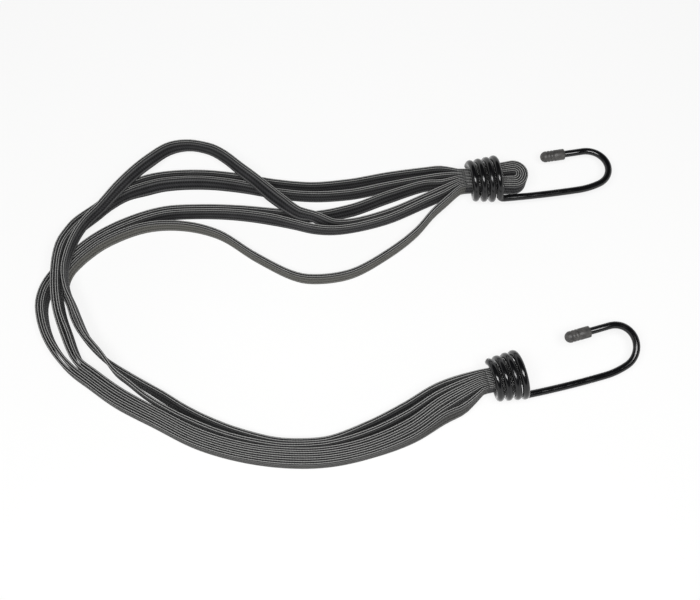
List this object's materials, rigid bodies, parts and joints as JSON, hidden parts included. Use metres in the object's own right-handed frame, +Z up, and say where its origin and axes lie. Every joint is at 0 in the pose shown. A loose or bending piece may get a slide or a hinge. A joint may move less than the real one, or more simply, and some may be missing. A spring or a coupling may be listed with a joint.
{
  "type": "bungee cord",
  "caption": "Flat elastic luggage strap of black woven tape, laid in several strands, with a black wire hook on each end. Each hook has a conical coil, a round bow and a soft tip cap.",
  "frame": {"origin": "middle of the footprint, on the table that the strap lies on", "axes": "+X from the bend of the strap towards the hooks, +Y towards the upper strands, +Z up from the table"},
  "size_m": [0.3097, 0.1797, 0.0257],
  "materials": {
    "tape": "black woven elastic, matt",
    "wire": "gloss black coat on steel wire",
    "cap": "matt dark grey"
  },
  "bodies": {
    "strands": {"strand_a": "tape", "strand_b1": "tape", "strand_b2": "tape", "strand_c1": "tape", "strand_c2": "tape", "strand_d": "tape"},
    "upper_loops": {"upper_loop_inner": "tape", "upper_loop_middle": "tape", "upper_loop_outer": "tape"},
    "upper_hook": {"upper_hook": "wire", "upper_tip_cap": "cap"},
    "lower_loops": {"lower_loop_inner": "tape", "lower_loop_middle": "tape", "lower_loop_outer": "tape"},
    "lower_hook": {"lower_hook": "wire", "lower_tip_cap": "cap"}
  },
  "joints": [
    {"name": "upper_stretch", "type": "slide", "parent": "strands", "child": "upper_loops", "axis": [0.996, 0.0889, 0], "range_m": [0, 0.2]},
    {"name": "upper_swivel", "type": "hinge", "parent": "upper_loops", "child": "upper_hook", "pos_m": [0.0727, 0.0645, 0.01295], "axis": [0.996, 0.0889, 0], "continuous": true},
    {"name": "lower_stretch", "type": "slide", "parent": "strands", "child": "lower_loops", "axis": [0.9785, 0.2062, 0], "range_m": [0, 0.2]},
    {"name": "lower_swivel", "type": "hinge", "parent": "lower_loops", "child": "lower_hook", "pos_m": [0.0787, -0.0478, 0.01295], "axis": [0.9785, 0.2062, 0], "continuous": true}
  ]
}
